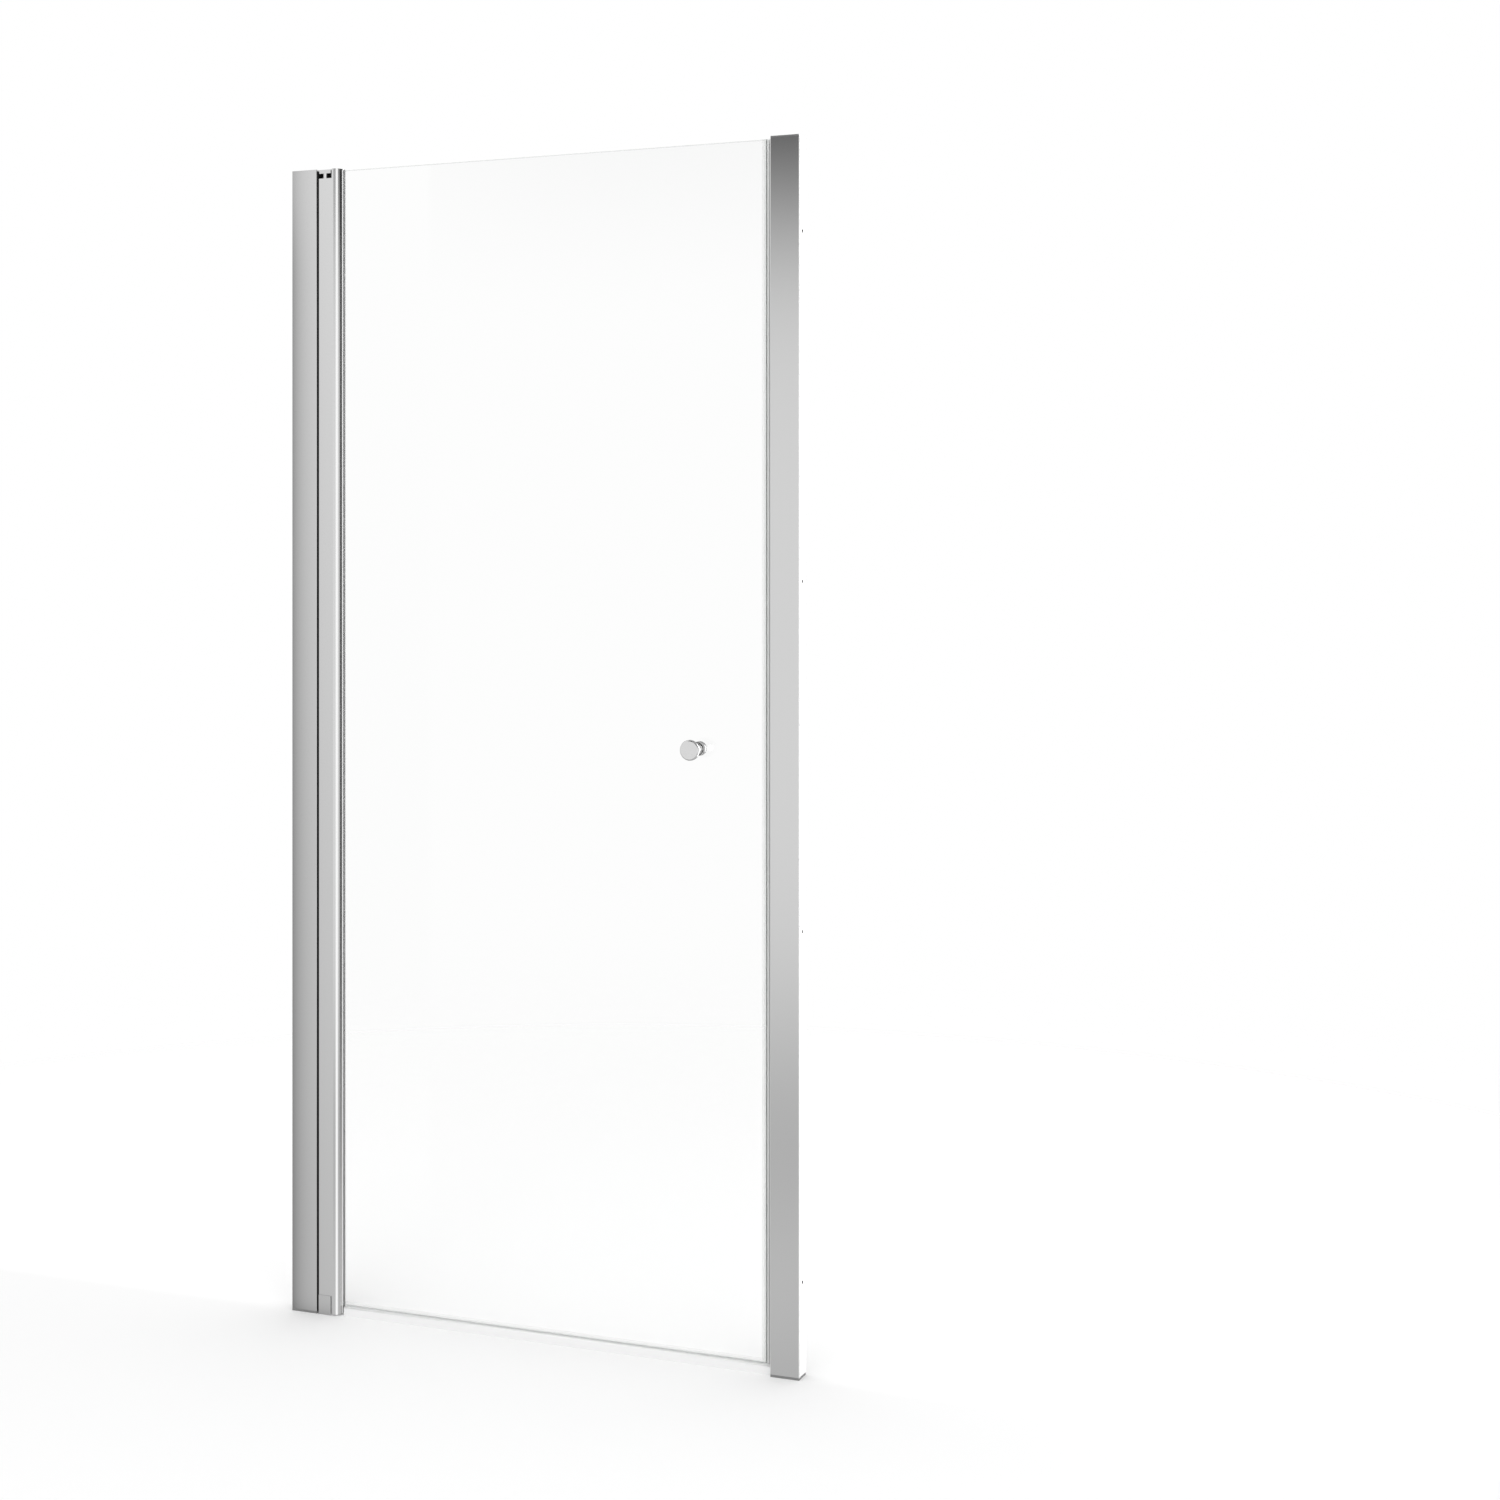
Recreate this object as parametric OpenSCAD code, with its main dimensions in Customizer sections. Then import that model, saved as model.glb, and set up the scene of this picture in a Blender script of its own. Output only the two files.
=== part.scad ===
// Pivoting shower door for a recess between two walls.
// X runs from the hinge wall to the strike wall as seen from outside, Y runs into the shower, Z is up.
// The origin is on the floor, midway between the walls and midway in the overall depth.

/* [Overall] */
// Distance from wall to wall
door_w = 926; // [800:1:1000]
// Height of the wall profiles
door_h = 1950; // [1800:10:2100]
// Depth of the wall profiles and of the hinge stile
frame_d = 30; // [30:1:34]
// Wall thickness of the aluminium profiles
wall_t = 1.6; // [1.4:0.1:1.8]

/* [Wall profiles] */
// Width of the face of each cover profile
jamb_w = 48.5; // [45:0.5:55]
// How far the channel screwed to the wall reaches into the cover profile
channel_reach = 28; // [22:1:28]
// Play between the wall channel and the cover profile that slides over it
slide_gap = 0.3; // [0.2:0.05:0.5]
// Radius of the holes for the wall screws
wall_hole_r = 2.75; // [2.25:0.25:3.5]
// Thickness of the top caps
cap_t = 2.5; // [2:0.5:3]
// Thickness of the caps under the cover profiles
foot_cap_t = 4; // [2:0.5:5]

/* [Hinge side] */
// Width of the gap between the cover profile and the hinge stile
hinge_gap = 4.2; // [4:0.1:6]
// Width of the hinge stile with its round nose
stile_w = 40.5; // [39:0.5:43]
// Distance of the pivot line from the edge of the stile
pivot_in = 9; // [8.5:0.1:9.5]
// Distance of the pivot line behind the front of the stile
pivot_back = 7; // [6.9:0.1:7.2]
// Radius of the pivot pins
pin_r = 3.75; // [3.25:0.05:3.8]
// Running clearance of the pins in their bushes
pin_clearance = 0.05; // [0.02:0.01:0.1]
// Height of the cut-out in the top of the stile
top_notch = 16; // [14:0.5:20]
// Thickness of the arm that holds the top pin
arm_t = 6.5; // [5:0.5:7]
// Height of the block that carries the bottom pin
block_h = 33; // [28:1:40]

/* [Glass] */
// Thickness of the pane
glass_t = 6; // [5:0.5:6]
// Height of the lower edge of the pane above the floor
glass_z0 = 16; // [16:0.5:22]
// Height of the threshold strip on the floor
sill_h = 14.5; // [12:0.5:14.5]
// Depth of the threshold strip
sill_d = 14; // [12:1:20]

/* [Knob] */
// Distance of the knob from the free edge of the pane
knob_in = 119; // [60:1:160]
// Height of the knob
knob_z = 982; // [900:1:1100]
// Radius of the knob
knob_r = 16.5; // [14:0.25:20]
// How far the knob stands out from the pane
knob_reach = 32; // [28:1:40]

/* [Hidden] */
$fn = 64;
// How far a cut runs past a face
over = 1;
half_d = frame_d / 2;
plane_y = (knob_reach + glass_t / 2 - half_d) / 2;
edge_cut = 0.6;
fit_gap = 0.1;

// Wall channel and cover profile
jamb_back = 0.3;
channel_half = half_d - wall_t - slide_gap;
chamber_d = 13.3;
chamber_x1 = jamb_w - wall_t;
chamber_x0 = chamber_x1 - chamber_d;
chamber_half = half_d - wall_t;
run_z0 = foot_cap_t + 0.3;
run_z1 = door_h - cap_t - 0.3;
hole_outer = 825;
hole_inner = 275;
jamb_screw_x = 15;
jamb_screw_pitch = 650;
slot_half = 1.6;
tongue_t = 1;

// Hinge stile, its cut-outs and the brackets in them
stile_x0 = jamb_w + hinge_gap;
stile_x1 = stile_x0 + stile_w;
nose_x = stile_x1 - half_d;
web_x = nose_x + wall_t;
pivot_x = stile_x0 + pivot_in;
pivot_y = -half_d + pivot_back;
tip_r = nose_x - pivot_x - 0.5;
arm_r = tip_r - 1.7;
stile_z0 = 1.5;
nose_cap_t = 1.5;
peg_w = 4;
peg_h = 6;
flange_t = 0.6;
joint_gap = 0.3;
notch_z0 = block_h + joint_gap;
plug_z0 = block_h + flange_t;
notch_z1 = door_h - top_notch;
arm_low = 0.8;
arm_z1 = door_h - arm_low;
arm_z0 = arm_z1 - arm_t;
neck_z1 = door_h - cap_t - fit_gap;
bridge_y0 = pivot_y + 2;
bridge_y1 = pivot_y + tip_r;
arm_setback = 2;
cap_plug_h = 8;
shank_back = 1.3;
bracket_screw_x = (chamber_x0 + chamber_x1 - shank_back) / 2;

// Strip in the hinge gap
gap_seal_t = 1;
gap_seal_edge = 1;
gap_seal_play = 0.2;
lip_t = 1.5;
bulb_y0 = pivot_y + 8;
bulb_w = 6;

// Pins, bushes and plugs
bush_r = pin_r + 1;
bush_l = 24;
flange_r = 5.2;
pin_bite = 22;
pin_seat = 20;
plug_l = 56;
bracket_l = 55;
foot_l = 72;
stile_screw_x = nose_x - 7;
liner_t = 1.5;
stile_screw_in = 34;

// Countersunk screws
screw_r = 2;
tap_r = 1.95;
head_r = 3.6;
head_t = 1.4;
screw_l = 10;
jamb_screw_l = 6;
hex_r = 1.1;
hex_depth = 0.9;
bite = 0.02;

// Glass in the nose of the stile
pocket_half = glass_t / 2 + 1.5;
pocket_wall = 1.5;
pocket_x0 = web_x + 1;
gasket_t = 1.4;
gasket_lip = 1;
glass_x0 = pocket_x0 + gasket_t + 0.1;
glass_z1 = door_h - 2.5;

// Strike side, seals and threshold
strike_x = door_w - jamb_w;
carrier_t = 5;
strip_wall = 1;
magnet_gap = 0.8;
seal_x1 = strike_x - carrier_t - magnet_gap;
pocket_d = 5.6;
glass_x1 = seal_x1 - pocket_d - fit_gap;
seal_t = 1.2;
seal_grip = 6.5;
seal_half = 5;
edge_web = 2.2;
magnet_half = 3.5;
magnet_short = 1;
sill_x0 = stile_x1 + 4;
sill_wall = 1.5;
drip_grip = 5;
drip_gap = 0.3;

// Knob
knob_x = glass_x1 - knob_in;
glass_hole_r = 6;
spindle_r = 2.5;
washer_t = 1.5;
washer_r = 11;
neck_r = 10.5;
disc_t = 7.5;
cap_r = 11.5;
inner_cap_t = 8;
stud_bite = 10;
cap_bite = 6;
stud_play = 0.3;

// A block given by its limits.
module block(x0, x1, y0, y1, z0, z1) {
    translate([x0, y0, z0])
        cube([x1 - x0, y1 - y0, z1 - z0]);
}

// Places what is drawn from the hinge wall and the plane of the glass.
module from_hinge_wall() {
    translate([-door_w / 2, plane_y, 0])
        children();
}

// The same for the strike wall, handed the other way round.
module from_strike_wall() {
    translate([door_w / 2, plane_y, 0])
        mirror([1, 0, 0])
            children();
}

// Countersunk screw driven from the inside of the shower towards the outside.
module rear_screw(x, z, length) {
    translate([x, half_d, z])
        rotate([90, 0, 0]) {
            difference() {
                cylinder(r1 = head_r, r2 = screw_r, h = head_t);
                translate([0, 0, -over])
                    cylinder(r = hex_r, h = over + hex_depth, $fn = 6);
            }
            translate([0, 0, head_t])
                cylinder(r = screw_r, h = length - head_t);
        }
}

// Countersunk hole for it in the rear wall of a profile.
module rear_screw_hole(x, z) {
    translate([x, half_d, z])
        rotate([90, 0, 0]) {
            cylinder(r1 = head_r + fit_gap, r2 = screw_r + fit_gap, h = head_t);
            translate([0, 0, -over])
                cylinder(r = screw_r + fit_gap, h = wall_t + 2 * over);
        }
}

// Tapped hole that takes its thread, cut from the face that lies behind the profile wall.
module rear_tap(x, z, face_y, depth) {
    translate([x, face_y + over, z])
        rotate([90, 0, 0])
            cylinder(r = tap_r, h = depth + over);
}

function jamb_screw_z() = [for (i = [-1:1]) door_h / 2 + i * jamb_screw_pitch];
function wall_hole_z() = [for (s = [-1, 1], d = [hole_inner, hole_outer]) door_h / 2 + s * d];
function bracket_screw_z() = [foot_cap_t + foot_l - 30, foot_cap_t + foot_l - 12, arm_z0 - 14, arm_z0 - 32];
function stile_screw_z() = [plug_z0 + stile_screw_in, notch_z1 - stile_screw_in];

// U-shaped channel that is screwed to the wall.
module wall_channel() {
    difference() {
        block(0, channel_reach, -channel_half, channel_half, run_z0, run_z1);
        block(wall_t, channel_reach + over, wall_t - channel_half, channel_half - wall_t,
            run_z0 - over, run_z1 + over);
        for (z = wall_hole_z())
            translate([-over, 0, z])
                rotate([0, 90, 0])
                    cylinder(r = wall_hole_r, h = wall_t + 2 * over);
        for (z = jamb_screw_z())
            rear_tap(jamb_screw_x, z, channel_half, wall_t + over);
    }
}

// Outline of the cover profile, with its two edges on the door side broken.
module jamb_outline() {
    polygon([
        [jamb_back, -half_d], [jamb_w - edge_cut, -half_d], [jamb_w, -half_d + edge_cut],
        [jamb_w, half_d - edge_cut], [jamb_w - edge_cut, half_d], [jamb_back, half_d]
    ]);
}

// Cover profile: open towards the wall, closed chamber on the door side, slot for the seal.
module jamb() {
    difference() {
        translate([0, 0, foot_cap_t])
            linear_extrude(door_h - foot_cap_t - cap_t)
                jamb_outline();
        block(-over, chamber_x0 - wall_t, -chamber_half, chamber_half, 0, door_h);
        block(chamber_x0, chamber_x1, -chamber_half, chamber_half, 0, door_h);
        block(chamber_x1 - over, jamb_w + over, -slot_half, slot_half, 0, door_h);
        for (z = jamb_screw_z())
            rear_screw_hole(jamb_screw_x, z);
    }
}

// End cap with a plug that goes inside the wall channel.
module jamb_cap(thickness) {
    linear_extrude(thickness)
        jamb_outline();
    block(wall_t + fit_gap, channel_reach - over, wall_t + fit_gap - channel_half,
        channel_half - wall_t - fit_gap, thickness, thickness + cap_plug_h);
}

module top_jamb_cap() {
    translate([0, 0, door_h])
        mirror([0, 0, 1])
            jamb_cap(cap_t);
}

// Tongue that holds a seal in the slot of the cover profile.
module slot_tongue(z0, z1) {
    block(chamber_x1 - tongue_t, jamb_w, fit_gap - slot_half, slot_half - fit_gap, z0, z1);
    block(chamber_x1 - tongue_t, chamber_x1 - fit_gap, -slot_half - tongue_t, slot_half + tongue_t, z0, z1);
}

module hinge_wall_channel() {
    color("silver")
        from_hinge_wall()
            wall_channel();
}

module hinge_jamb() {
    color("lightgray")
        from_hinge_wall()
            difference() {
                jamb();
                block(chamber_x1 - over, jamb_w + over, bridge_y0 - fit_gap, bridge_y1 + fit_gap,
                    arm_z0 - fit_gap, door_h);
                block(chamber_x1 - over, jamb_w + over, bridge_y0 - fit_gap, bridge_y1 + fit_gap,
                    0, block_h + fit_gap);
                for (z = bracket_screw_z())
                    rear_screw_hole(bracket_screw_x, z);
            }
}

module hinge_jamb_screws() {
    color("gray")
        from_hinge_wall()
            for (z = jamb_screw_z())
                rear_screw(jamb_screw_x, z, jamb_screw_l);
}

module hinge_jamb_top_cap() {
    color("lightgray")
        from_hinge_wall()
            top_jamb_cap();
}

module hinge_jamb_bottom_cap() {
    color("gray")
        from_hinge_wall()
            jamb_cap(foot_cap_t);
}

// Black strip that closes the gap between the cover profile and the stile. In front of the brackets
// and behind them it goes on to both ends, with a lip along its rear edge.
module hinge_gap_seal() {
    x1 = jamb_w + gap_seal_t;
    lip_x1 = stile_x0 - gap_seal_play;
    y0 = gap_seal_edge - half_d;
    y1 = half_d - gap_seal_edge;
    z0 = block_h + gap_seal_play;
    z1 = arm_z0 - gap_seal_play;
    color("black")
        from_hinge_wall() {
            block(jamb_w, x1, y0, y1, z0, z1);
            block(jamb_w, x1, y0, bridge_y0 - gap_seal_play, foot_cap_t, neck_z1);
            block(jamb_w, x1, bridge_y1 + gap_seal_play, y1, foot_cap_t, neck_z1);
            block(jamb_w, lip_x1, y1 - lip_t, y1, foot_cap_t, neck_z1);
            block(jamb_w, lip_x1, bulb_y0, bulb_y0 + bulb_w, z0, z1);
            slot_tongue(z0, z1);
        }
}

// Part of a pivot bracket that stands in the chamber of the cover profile.
module bracket_shank(z0, z1) {
    difference() {
        block(chamber_x0 + fit_gap, chamber_x1 - shank_back, fit_gap - chamber_half,
            chamber_half - fit_gap, z0, z1);
        for (z = bracket_screw_z())
            rear_tap(bracket_screw_x, z, chamber_half, screw_l);
    }
}

// Plan of the part of a bracket inside the cut-out of the stile: round about the pivot line, so
// that the nose and the rear wall of the stile pass it as the door turns.
module bracket_plan(front_y, reach) {
    intersection() {
        translate([stile_x0, front_y])
            square([stile_w, bridge_y1 - front_y]);
        union() {
            translate([pivot_x, pivot_y])
                circle(r = reach);
            translate([stile_x0, front_y])
                square([pivot_in, bridge_y1 - front_y]);
        }
    }
}

// Neck of a bracket, from the chamber across the gap. It lies back from the front.
module bracket_neck(z0, z1) {
    block(chamber_x1 - 2 * shank_back, stile_x0, bridge_y0, bridge_y1, z0, z1);
}

module top_pivot_bracket() {
    color("silver")
        from_hinge_wall() {
            bracket_shank(neck_z1 - bracket_l, neck_z1);
            bracket_neck(arm_z0, neck_z1);
            difference() {
                translate([0, 0, arm_z0])
                    linear_extrude(arm_t)
                        bracket_plan(arm_setback - half_d, arm_r);
                translate([pivot_x, pivot_y, arm_z0 - over])
                    cylinder(r = pin_r - bite, h = arm_t + 2 * over);
            }
        }
}

module bottom_pivot_block() {
    color("silver")
        from_hinge_wall() {
            bracket_shank(foot_cap_t, foot_cap_t + foot_l);
            bracket_neck(foot_cap_t, block_h);
            difference() {
                linear_extrude(block_h)
                    bracket_plan(-half_d, tip_r);
                translate([pivot_x, pivot_y, block_h - pin_seat])
                    cylinder(r = pin_r - bite, h = pin_seat + over);
            }
        }
}

module top_pivot_pin() {
    color("gainsboro")
        from_hinge_wall()
            translate([pivot_x, pivot_y, notch_z1 - pin_bite])
                cylinder(r = pin_r, h = arm_z1 - fit_gap - notch_z1 + pin_bite);
}

module bottom_pivot_pin() {
    color("gainsboro")
        from_hinge_wall()
            translate([pivot_x, pivot_y, block_h - pin_seat])
                cylinder(r = pin_r, h = pin_seat + flange_t + pin_bite);
}

module bracket_screws() {
    color("gray")
        from_hinge_wall()
            for (z = bracket_screw_z())
                rear_screw(bracket_screw_x, z, screw_l);
}

module strike_wall_channel() {
    color("silver")
        from_strike_wall()
            wall_channel();
}

module strike_jamb() {
    color("lightgray")
        from_strike_wall()
            jamb();
}

module strike_jamb_screws() {
    color("gray")
        from_strike_wall()
            for (z = jamb_screw_z())
                rear_screw(jamb_screw_x, z, jamb_screw_l);
}

module strike_jamb_top_cap() {
    color("lightgray")
        from_strike_wall()
            top_jamb_cap();
}

module strike_jamb_bottom_cap() {
    color("gray")
        from_strike_wall()
            jamb_cap(foot_cap_t);
}

module strike_magnet_carrier() {
    color("whitesmoke")
        from_strike_wall()
            difference() {
                union() {
                    block(jamb_w, jamb_w + carrier_t, -seal_half, seal_half, glass_z0, glass_z1);
                    slot_tongue(glass_z0, glass_z1);
                }
                block(jamb_w + strip_wall, jamb_w + carrier_t - strip_wall, -magnet_half - fit_gap,
                    magnet_half + fit_gap, glass_z0 - over, glass_z1 + over);
            }
}

module strike_magnet() {
    color("lightgray")
        from_strike_wall()
            block(jamb_w + strip_wall + fit_gap, jamb_w + carrier_t - strip_wall - fit_gap, -magnet_half,
                magnet_half, glass_z0 + magnet_short, glass_z1 - magnet_short);
}

module threshold_strip() {
    color("white")
        from_hinge_wall()
            difference() {
                block(sill_x0, strike_x, -sill_d / 2, sill_d / 2, 0, sill_h);
                block(sill_x0 - over, strike_x + over, sill_wall - sill_d / 2, sill_d / 2 - sill_wall,
                    sill_wall, sill_h - sill_wall);
            }
}

// Outline of the stile: square on the pivot side, with a round nose.
module stile_outline() {
    polygon([
        [stile_x0 + edge_cut, -half_d], [nose_x, -half_d], [nose_x, half_d],
        [stile_x0 + edge_cut, half_d], [stile_x0, half_d - edge_cut], [stile_x0, edge_cut - half_d]
    ]);
    translate([nose_x, 0])
        circle(r = half_d);
}

// Plan of the cut-out for the brackets. The rear wall of the stile stays.
module notch_plan() {
    translate([stile_x0 - over, -half_d - over])
        square([nose_x - stile_x0 + over, half_d + chamber_half + over]);
}

// Section of the stile: hollow on the pivot side, with a nose that grips the glass.
module stile_section() {
    difference() {
        stile_outline();
        translate([stile_x0 + wall_t, -chamber_half])
            square([nose_x - stile_x0 - wall_t, 2 * chamber_half]);
        difference() {
            translate([nose_x, 0])
                circle(r = chamber_half);
            translate([stile_x0, -half_d])
                square([web_x - stile_x0, frame_d]);
            translate([nose_x, -pocket_half - pocket_wall])
                square([half_d + over, 2 * (pocket_half + pocket_wall)]);
        }
        translate([pocket_x0, -pocket_half])
            square([half_d + over, 2 * pocket_half]);
    }
}

module hinge_stile() {
    color("lightgray")
        from_hinge_wall()
            difference() {
                translate([0, 0, stile_z0 + nose_cap_t])
                    linear_extrude(door_h - stile_z0 - 2 * nose_cap_t)
                        stile_section();
                linear_extrude(notch_z0)
                    notch_plan();
                translate([0, 0, notch_z1])
                    linear_extrude(top_notch)
                        notch_plan();
                for (z = stile_screw_z())
                    rear_screw_hole(stile_screw_x, z);
            }
}

// Solid plug in the end of the stile, bored for the bush.
module stile_plug(z0, bore_z0) {
    difference() {
        block(stile_x0 + wall_t + fit_gap, nose_x - fit_gap, fit_gap - chamber_half, chamber_half - fit_gap,
            z0, z0 + plug_l);
        translate([pivot_x, pivot_y, bore_z0])
            cylinder(r = bush_r - bite, h = bush_l + over);
        for (z = stile_screw_z())
            rear_tap(stile_screw_x, z, chamber_half, screw_l);
    }
}

// The top plug has a tongue that lines the rear wall behind the pivot.
module stile_top_plug() {
    color("dimgray")
        from_hinge_wall() {
            stile_plug(notch_z1 - plug_l, notch_z1 - bush_l);
            block(stile_x0 + wall_t + fit_gap, nose_x - fit_gap, chamber_half - fit_gap - liner_t,
                chamber_half - fit_gap, notch_z1 - liner_t, door_h - nose_cap_t - fit_gap);
        }
}

module stile_bottom_plug() {
    color("dimgray")
        from_hinge_wall()
            stile_plug(plug_z0, plug_z0 - over);
}

module stile_plug_screws() {
    color("gray")
        from_hinge_wall()
            for (z = stile_screw_z())
                rear_screw(stile_screw_x, z, screw_l);
}

// Flanged bush, drawn with the flange at the bottom.
module pivot_bush() {
    difference() {
        union() {
            cylinder(r = flange_r, h = flange_t);
            cylinder(r = bush_r, h = flange_t + bush_l - 0.5);
        }
        translate([0, 0, -over])
            cylinder(r = pin_r + pin_clearance, h = bush_l + 2 * over + flange_t);
    }
}

module top_pivot_bush() {
    color("white")
        from_hinge_wall()
            translate([pivot_x, pivot_y, notch_z1 + flange_t])
                mirror([0, 0, 1])
                    pivot_bush();
}

module bottom_pivot_bush() {
    color("white")
        from_hinge_wall()
            translate([pivot_x, pivot_y, block_h])
                pivot_bush();
}

// Cap on the end of the nose and of the rear wall, with two pegs that go inside the nose.
module nose_cap() {
    peg_y = pocket_half + pocket_wall + fit_gap;
    linear_extrude(nose_cap_t)
        difference() {
            stile_outline();
            notch_plan();
        }
    for (side = [0, 1])
        mirror([0, side, 0])
            block(web_x + fit_gap, web_x + peg_w, peg_y, peg_y + peg_w, nose_cap_t, nose_cap_t + peg_h);
}

module stile_nose_top_cap() {
    color("lightgray")
        from_hinge_wall()
            translate([0, 0, door_h])
                mirror([0, 0, 1])
                    nose_cap();
}

module stile_nose_bottom_cap() {
    color("lightgray")
        from_hinge_wall()
            translate([0, 0, stile_z0])
                nose_cap();
}

// Clear channel between the stile and the pane, with a lip on each side of the glass.
module glazing_gasket() {
    z0 = stile_z0 + nose_cap_t;
    z1 = door_h - nose_cap_t;
    lip_x0 = nose_x + sqrt(half_d * half_d - pocket_half * pocket_half);
    color("gainsboro")
        from_hinge_wall()
            difference() {
                block(pocket_x0, lip_x0 + gasket_lip, -pocket_half, pocket_half, z0, z1);
                block(pocket_x0 + gasket_t, lip_x0 + 2 * gasket_lip, -glass_t / 2, glass_t / 2,
                    z0 - over, z1 + over);
            }
}

module glass_pane() {
    color([0.85, 0.95, 0.92, 0.35])
        from_hinge_wall()
            difference() {
                block(glass_x0, glass_x1, -glass_t / 2, glass_t / 2, glass_z0, glass_z1);
                translate([knob_x, glass_t / 2 + over, knob_z])
                    rotate([90, 0, 0])
                        cylinder(r = glass_hole_r, h = glass_t + 2 * over);
            }
}

// Clear strip on the free edge of the pane, with a pocket for the magnet.
module edge_seal() {
    grip_x0 = glass_x1 - seal_grip;
    color([0.9, 0.95, 0.95, 0.6])
        from_hinge_wall()
            difference() {
                union() {
                    block(grip_x0, glass_x1 + fit_gap, -glass_t / 2 - seal_t, glass_t / 2 + seal_t,
                        glass_z0, glass_z1);
                    block(glass_x1 + fit_gap, seal_x1, -seal_half, seal_half, glass_z0, glass_z1);
                }
                block(grip_x0 - over, glass_x1 + fit_gap, -glass_t / 2, glass_t / 2, 0, door_h);
                block(glass_x1 + edge_web, seal_x1 - strip_wall, -magnet_half - fit_gap, magnet_half + fit_gap,
                    0, door_h);
            }
}

module edge_magnet() {
    color("lightgray")
        from_hinge_wall()
            block(glass_x1 + edge_web + fit_gap, seal_x1 - strip_wall - fit_gap, -magnet_half, magnet_half,
                glass_z0 + magnet_short, glass_z1 - magnet_short);
}

// Clear strip clipped on the lower edge of the pane.
module bottom_seal() {
    x0 = stile_x1 + 1.5;
    x1 = glass_x1 - seal_grip - 0.5;
    color([0.9, 0.95, 0.95, 0.6])
        from_hinge_wall()
            difference() {
                block(x0, x1, -glass_t / 2 - seal_t, glass_t / 2 + seal_t, sill_h + drip_gap,
                    glass_z0 + drip_grip);
                block(x0 - over, x1 + over, -glass_t / 2, glass_t / 2, glass_z0, glass_z0 + drip_grip + over);
            }
}

// Places what is drawn along the axis of the knob, with height measured outwards from the pane's face.
module on_glass_front() {
    from_hinge_wall()
        translate([knob_x, -glass_t / 2, knob_z])
            rotate([90, 0, 0])
                children();
}

module on_glass_rear() {
    from_hinge_wall()
        translate([knob_x, glass_t / 2, knob_z])
            rotate([-90, 0, 0])
                children();
}

module outer_knob() {
    groove_h = knob_reach - disc_t;
    color("silver")
        on_glass_front()
            difference() {
                rotate_extrude()
                    polygon([
                        [0, washer_t], [neck_r, washer_t], [neck_r, washer_t + 3], [neck_r - 1.5, washer_t + 5],
                        [neck_r - 1.5, groove_h - 2], [knob_r - 1.5, groove_h], [knob_r - 1.5, groove_h + 1.2],
                        [knob_r, groove_h + 2.2], [knob_r, knob_reach - 2], [knob_r - 0.6, knob_reach - 0.6],
                        [knob_r - 2, knob_reach], [0, knob_reach]
                    ]);
                translate([0, 0, washer_t - over])
                    cylinder(r = spindle_r - bite, h = stud_bite + 2 + over);
            }
}

module outer_knob_washer() {
    color("black")
        on_glass_front()
            difference() {
                cylinder(r = washer_r, h = washer_t);
                translate([0, 0, -over])
                    cylinder(r = spindle_r + stud_play, h = washer_t + 2 * over);
            }
}

module knob_sleeve() {
    color("white")
        on_glass_front()
            translate([0, 0, -glass_t])
                difference() {
                    cylinder(r = glass_hole_r - stud_play, h = glass_t);
                    translate([0, 0, -over])
                        cylinder(r = spindle_r + stud_play, h = glass_t + 2 * over);
                }
}

module knob_stud() {
    stud_back = glass_t + washer_t + cap_bite;
    color("gray")
        on_glass_front()
            translate([0, 0, -stud_back])
                cylinder(r = spindle_r, h = stud_back + washer_t + stud_bite);
}

module inner_knob_washer() {
    color("gainsboro")
        on_glass_rear()
            difference() {
                cylinder(r = washer_r, h = washer_t);
                translate([0, 0, -over])
                    cylinder(r = spindle_r + stud_play, h = washer_t + 2 * over);
            }
}

module inner_knob_cap() {
    color("silver")
        on_glass_rear()
            difference() {
                rotate_extrude()
                    polygon([
                        [0, washer_t], [cap_r, washer_t], [cap_r, washer_t + inner_cap_t - 1.5],
                        [cap_r - 1.5, washer_t + inner_cap_t], [0, washer_t + inner_cap_t]
                    ]);
                translate([0, 0, washer_t - over])
                    cylinder(r = spindle_r - bite, h = cap_bite + over);
            }
}

hinge_wall_channel();
hinge_jamb();
hinge_jamb_screws();
hinge_jamb_top_cap();
hinge_jamb_bottom_cap();
hinge_gap_seal();
top_pivot_bracket();
bottom_pivot_block();
top_pivot_pin();
bottom_pivot_pin();
bracket_screws();
strike_wall_channel();
strike_jamb();
strike_jamb_screws();
strike_jamb_top_cap();
strike_jamb_bottom_cap();
strike_magnet_carrier();
strike_magnet();
threshold_strip();
hinge_stile();
stile_top_plug();
stile_bottom_plug();
stile_plug_screws();
top_pivot_bush();
bottom_pivot_bush();
stile_nose_top_cap();
stile_nose_bottom_cap();
glazing_gasket();
glass_pane();
edge_seal();
edge_magnet();
bottom_seal();
outer_knob();
outer_knob_washer();
knob_sleeve();
knob_stud();
inner_knob_washer();
inner_knob_cap();
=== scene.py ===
# A pivoting shower door between two wall profiles, in metres: X from the hinge wall to the strike
# wall, Y into the shower, Z up.
import math

import bmesh
import bpy
from mathutils import Matrix, Vector


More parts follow.
